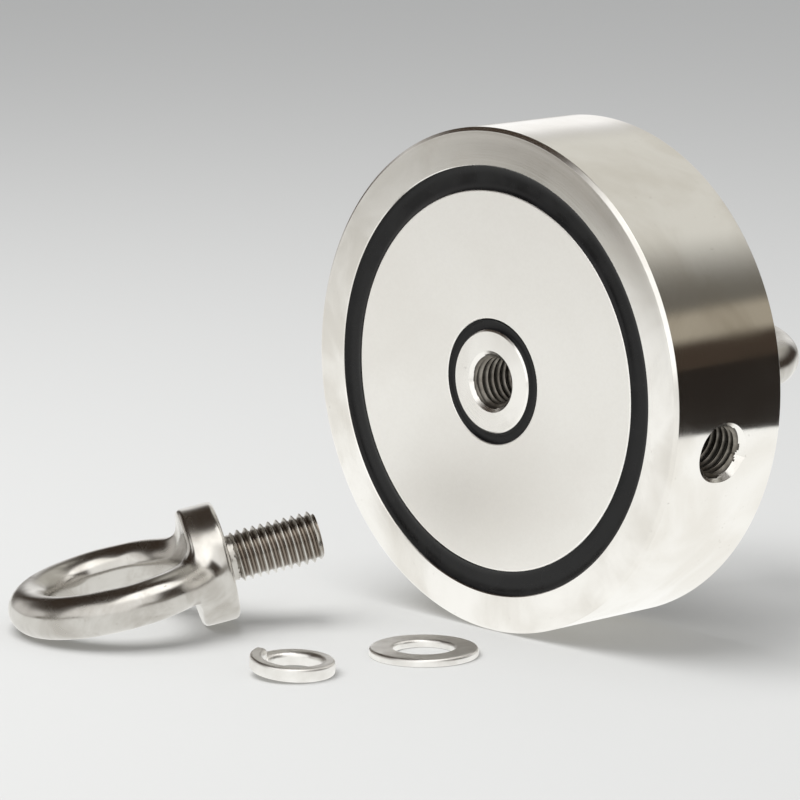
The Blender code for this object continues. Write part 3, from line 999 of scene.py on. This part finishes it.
def build_loose_fittings(eyebolt, steel, satin):
    """The spare set. The pot mirrors neither washer, so that its rim stays clean above them."""
    eyebolt.transform(settled("spare_eyebolt", eyebolt, loose_eyebolt_turn()))
    add_piece("spare_eyebolt", eyebolt, Matrix(), "spare_eye", steel)
    flat = flat_washer_mesh()
    placement = settled("spare_flat_washer", flat, Matrix())
    washers = [add_piece("spare_flat_washer", flat, placement, "spare_washer_flat",
                         satin)]
    spring = spring_washer_mesh(SPRING_RISE)
    line = Vector((math.cos(SPRING_LEAN_LINE), math.sin(SPRING_LEAN_LINE), 0.0))
    turn = Matrix.Rotation(SPRING_LEAN, 4, line) @ Matrix.Rotation(SPLIT_DIRECTION, 4, "Z")
    spring.transform(settled("spare_spring_washer", spring, turn))
    washers.append(add_piece("spare_spring_washer", spring, Matrix(), "spare_washer_spring",
                             satin))
    for washer in washers:
        washer.visible_glossy = False


# ---- studio -----------------------------------------------------------------------------------

FLOOR_SIZE = 30.0
FLOOR_COLOUR = (0.54, 0.54, 0.53)
SHEET_NEAR = (1.04, 1.04, 1.01)
SHEET_FAR = (0.50, 0.49, 0.46)
SHEET_FADE = (0.14, 0.95)           # metres over which one turns into the other
SHEET_HEIGHT = 0.02 * MM
DOME_RADIUS = 2.6

# What the metal mirrors above the floor: (direction, half width, low, high, soft edge, light),
# in degrees. A direction is counted from +X towards +Y.
DOME_DARK = (0.052, 0.038, 0.028)
DOME_CARDS = (
    (50, 14, 20, 42, 3, (0.145, 0.135, 0.115)),    # dim edge of the large panel
    (102, 42, 24, 64, 9, (0.70, 0.685, 0.63)),     # large panel behind the magnet
    (132, 20, -2, 24, 8, (1.05, 1.04, 1.02)),      # bright low panel behind the magnet
    (50, 8, 12.8, 21.5, 2, (0.37, 0.33, 0.26)),    # narrow strip to the right of the panel
    (304, 54, -4, 55, 4, (1.22, 1.21, 1.18)),      # white wall on the camera's side
    (353, 58, 46, 84, 6, (1.9, 1.88, 1.82)),       # white panel overhead
    (205, 34, -2, 24, 8, (0.80, 0.78, 0.75)),      # grey wall on the left
    (0, 22, -2, 12, 6, (0.25, 0.23, 0.20)),        # grey wall on the right
)

# Nearer cards that stand on the floor and that only the metal mirrors, in metres and degrees:
# (name, distance, direction, from side, to side, height, light)
STANDING_CARDS = (
    ("dark_flag", 0.175, 47, 0.012, 0.075, 0.062, (0.022, 0.018, 0.015)),
    ("far_screen", 0.48, 225, -0.60, 0.005, 0.055, (0.17, 0.15, 0.12)),
)

SKY_COLOUR = (0.97, 0.98, 1.0)
SKY_STRENGTH = 0.72
SOFTBOX_PLACE = Vector((-0.15, -0.25, 0.75))
SOFTBOX_SIZE = 0.7
SOFTBOX_POWER = 7.0


def dome_material():
    """A dark room with soft bright panels, drawn by direction on the inside of a dome."""
    material, tree = new_glow("reflected_room")
    place = object_place(tree)
    direction = add_node(tree, "ShaderNodeVectorMath", {0: place}, operation="NORMALIZE").outputs[0]
    height = add_node(tree, "ShaderNodeSeparateXYZ", {"Vector": direction}).outputs["Z"]
    elevation = math_node(tree, "DEGREES", math_node(tree, "ARCSINE", height))
    light = (*DOME_DARK, 1.0)
    for centre, half_width, low, high, soft, colour in DOME_CARDS:
        inputs = {"Vector": direction, "Angle": -math.radians(centre)}
        turned_to = add_node(tree, "ShaderNodeVectorRotate", inputs, rotation_type="Z_AXIS")
        x, y, _ = add_node(tree, "ShaderNodeSeparateXYZ", {"Vector": turned_to.outputs[0]}).outputs
        sideways = math_node(tree, "DEGREES", math_node(tree, "ARCTAN2", y, x))
        sideways = math_node(tree, "ABSOLUTE", sideways)
        inside = ranged(tree, sideways, 1.0, 0.0, half_width - soft, half_width + soft)
        above = ranged(tree, elevation, 0.0, 1.0, low - soft, low + soft)
        below = ranged(tree, elevation, 1.0, 0.0, high - soft, high + soft)
        share = math_node(tree, "MULTIPLY", inside, math_node(tree, "MULTIPLY", above, below))
        light = tinted(tree, share, colour, light)
    finish_glow(tree, light)
    return material


def only_in_reflections(obj):
    obj.visible_camera = False
    obj.visible_diffuse = False
    obj.visible_shadow = False
    obj.visible_transmission = False


def build_dome():
    bpy.ops.mesh.primitive_uv_sphere_add(segments=64, ring_count=32, radius=DOME_RADIUS)
    dome = bpy.context.object
    dome.name = "reflected_room"
    dome.data.materials.append(dome_material())
    only_in_reflections(dome)


def build_sheet(name, height):
    bpy.ops.mesh.primitive_grid_add(
        x_subdivisions=8, y_subdivisions=8, size=FLOOR_SIZE, location=(0.0, 0.0, height),
    )
    sheet = bpy.context.object
    sheet.name = name
    return sheet


def flat_glow(name, colour):
    material, tree = new_glow(name)
    finish_glow(tree, (*colour, 1.0))
    return material


def build_card(name, distance, direction, from_side, to_side, height, colour):
    """A standing card that only reflections see, square to a direction in degrees from +X."""
    angle = math.radians(direction)
    out = Vector((math.cos(angle), math.sin(angle), 0.0))
    side = Vector((math.sin(angle), -math.cos(angle), 0.0))
    foot_a = out * distance + side * from_side
    foot_b = out * distance + side * to_side
    up = Vector((0.0, 0.0, height))
    mesh = bpy.data.meshes.new(name)
    mesh.from_pydata([foot_a, foot_b, foot_b + up, foot_a + up], [], [(0, 1, 2, 3)])
    mesh.materials.append(flat_glow(name, colour))
    card = bpy.data.objects.new(name, mesh)
    bpy.context.scene.collection.objects.link(card)
    only_in_reflections(card)


def build_lights():
    world = bpy.data.worlds.new("studio")
    bpy.context.scene.world = world
    world.use_nodes = True
    background = world.node_tree.nodes["Background"]
    background.inputs["Color"].default_value = (*SKY_COLOUR, 1.0)
    background.inputs["Strength"].default_value = SKY_STRENGTH
    light = bpy.data.lights.new("softbox", "AREA")
    light.shape = "RECTANGLE"
    light.size = SOFTBOX_SIZE
    light.size_y = SOFTBOX_SIZE
    light.energy = SOFTBOX_POWER
    softbox = bpy.data.objects.new("softbox", light)
    softbox.location = SOFTBOX_PLACE
    softbox.rotation_euler = (-SOFTBOX_PLACE).to_track_quat("-Z", "Y").to_euler()
    softbox.visible_glossy = False
    bpy.context.scene.collection.objects.link(softbox)


def build_camera():
    data = bpy.data.cameras.new("camera")
    data.lens = CAMERA_LENS
    data.sensor_width = SENSOR_WIDTH
    data.clip_start = 0.01
    data.clip_end = 100.0
    camera = bpy.data.objects.new("camera", data)
    camera.location = Vector((AXIS_X, FRONT_Y, 0.0)) + CAMERA_PLACE
    camera.rotation_euler = (math.pi / 2 + CAMERA_PITCH, 0.0, CAMERA_YAW)
    bpy.context.scene.collection.objects.link(camera)
    bpy.context.scene.camera = camera


def build_floor():
    floor = build_sheet("studio_floor", 0.0)
    material, _, shader = new_surface("pale_floor", 0.0)
    shader.inputs["Base Color"].default_value = (*FLOOR_COLOUR, 1.0)
    shader.inputs["Roughness"].default_value = 0.9
    shader.inputs["Specular IOR Level"].default_value = 0.1
    floor.data.materials.append(material)
    floor.visible_glossy = False


def sheet_material():
    """White paper in a light that falls off with distance from the magnet."""
    material, tree = new_glow("reflected_sheet")
    distance = add_node(tree, "ShaderNodeVectorMath", {0: object_place(tree)}, operation="LENGTH")
    share = ranged(tree, distance.outputs["Value"], 0.0, 1.0, *SHEET_FADE)
    finish_glow(tree, mixed(tree, share, SHEET_NEAR, SHEET_FAR))
    return material


def build_reflected_sheet():
    """What the metal mirrors of the floor: a sheet without shadows, just above it."""
    sheet = build_sheet("reflected_sheet", SHEET_HEIGHT)
    sheet.data.materials.append(sheet_material())
    only_in_reflections(sheet)


def build_studio():
    build_floor()
    build_reflected_sheet()
    build_dome()
    for card in STANDING_CARDS:
        build_card(*card)
    build_lights()
    build_camera()
    bpy.context.scene.view_settings.view_transform = "Standard"


def main():
    eyebolt = eyebolt_mesh()
    steel = stainless_surface()
    satin = washer_surface()
    build_pot()
    build_rear_fittings(eyebolt, steel, satin)
    build_loose_fittings(eyebolt.copy(), steel, satin)
    build_studio()


main()
